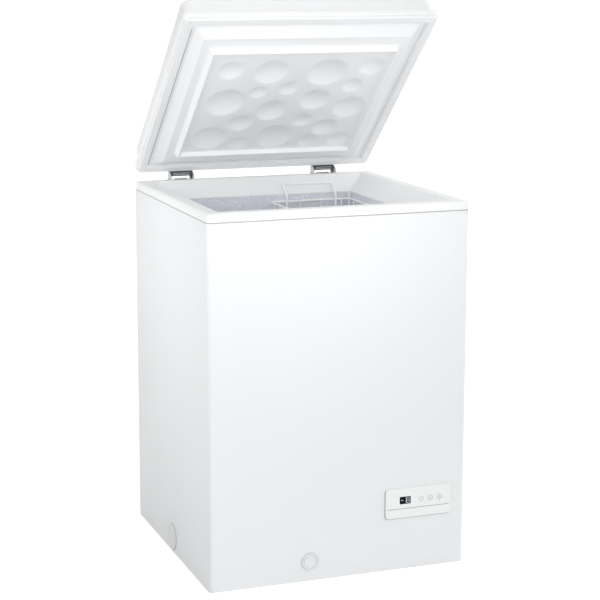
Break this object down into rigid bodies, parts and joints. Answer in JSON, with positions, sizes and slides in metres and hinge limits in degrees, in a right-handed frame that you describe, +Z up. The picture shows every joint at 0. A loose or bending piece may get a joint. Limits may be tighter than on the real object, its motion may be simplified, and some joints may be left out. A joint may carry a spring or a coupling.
{
  "type": "chest freezer",
  "caption": "Tall narrow chest freezer with a foamed lift-up lid, hanging wire basket, metal liner, front control panel and drain.",
  "frame": {"origin": "floor level under the middle of the cabinet, on the base pan's flat underside", "axes": "+X to the right as seen from the front, +Y to the back, +Z up"},
  "size_m": [0.5765, 0.5913, 1.1987],
  "materials": {
    "white_enamel": "gloss",
    "white_plastic": "satin",
    "lid_plastic": "satin",
    "liner_metal": "embossed",
    "bare_steel": "satin",
    "foam": "matt",
    "gasket_rubber": "matt",
    "copper_tube": "satin",
    "black_enamel": "satin",
    "motor_iron": "matt",
    "black_rubber": "matt",
    "dark_plastic": "matt",
    "board_green": "satin",
    "window_black": "gloss",
    "lit_digits": "gloss",
    "zinc_screw": "satin",
    "drain_plastic": "satin",
    "key_plastic": "satin",
    "basket_wire": "gloss",
    "hinge_steel": "satin"
  },
  "bodies": {
    "cabinet": {"cabinet_shell": "white_enamel", "back_panel": "bare_steel", "base_pan": "bare_steel", "top_collar": "white_plastic", "inner_liner": "liner_metal", "foam_insulation": "foam", "bay_partition": "bare_steel", "evaporator_coil": "copper_tube", "condenser_coil": "copper_tube", "compressor_can": "black_enamel", "compressor_motor": "motor_iron", "compressor_feet": "black_enamel", "compressor_grommets": "black_rubber", "compressor_studs": "zinc_screw", "relay_cover": "dark_plastic", "suction_line": "copper_tube", "discharge_line": "copper_tube", "filter_drier": "copper_tube", "capillary_tube": "copper_tube", "rear_grille": "dark_plastic", "grille_screws": "zinc_screw", "side_vent": "white_plastic", "cord_gland": "dark_plastic", "bay_wiring": "dark_plastic", "control_bezel": "white_plastic", "control_board": "board_green", "key_switches": "dark_plastic", "display_window": "window_black", "display_digits": "lit_digits", "temperature_sensor": "zinc_screw", "side_cap": "white_plastic", "drain_tube": "drain_plastic", "hinge_bases": "hinge_steel", "hinge_pins": "zinc_screw", "hinge_springs": "zinc_screw", "hinge_screws": "zinc_screw"},
    "lid": {"lid_shell": "white_enamel", "lid_frame": "white_plastic", "lid_foam": "foam", "lid_panel": "lid_plastic", "lid_gasket": "gasket_rubber", "hinge_arms": "hinge_steel", "arm_screws": "zinc_screw"},
    "basket": {"basket_frame": "basket_wire", "basket_hangers": "basket_wire"},
    "key_minus": {"key_minus": "key_plastic"},
    "key_plus": {"key_plus": "key_plastic"},
    "key_mode": {"key_mode": "key_plastic"},
    "drain_cap": {"drain_cap": "white_plastic"},
    "drain_plug": {"drain_plug": "drain_plastic"}
  },
  "joints": [
    {"name": "lid_hinge", "type": "hinge", "parent": "cabinet", "child": "lid", "pos_m": [0, 0.292, 0.779], "axis": [-1, 0, 0], "range_deg": [-42, 48]},
    {"name": "basket_lift", "type": "slide", "parent": "cabinet", "child": "basket", "axis": [0, 0, 1], "range_m": [0, 0.045]},
    {"name": "key_minus_press", "type": "slide", "parent": "cabinet", "child": "key_minus", "axis": [0, 1, 0], "range_m": [0, 0.0006], "stiffness_N_per_m": 900, "springref_m": -0.0004},
    {"name": "key_plus_press", "type": "slide", "parent": "cabinet", "child": "key_plus", "axis": [0, 1, 0], "range_m": [0, 0.0006], "stiffness_N_per_m": 900, "springref_m": -0.0004},
    {"name": "key_mode_press", "type": "slide", "parent": "cabinet", "child": "key_mode", "axis": [0, 1, 0], "range_m": [0, 0.0006], "stiffness_N_per_m": 900, "springref_m": -0.0004},
    {"name": "drain_cap_pull", "type": "slide", "parent": "cabinet", "child": "drain_cap", "axis": [0, -1, 0], "range_m": [0, 0.02]},
    {"name": "drain_plug_lift", "type": "slide", "parent": "cabinet", "child": "drain_plug", "axis": [0, 0, 1], "range_m": [0, 0.02]}
  ]
}
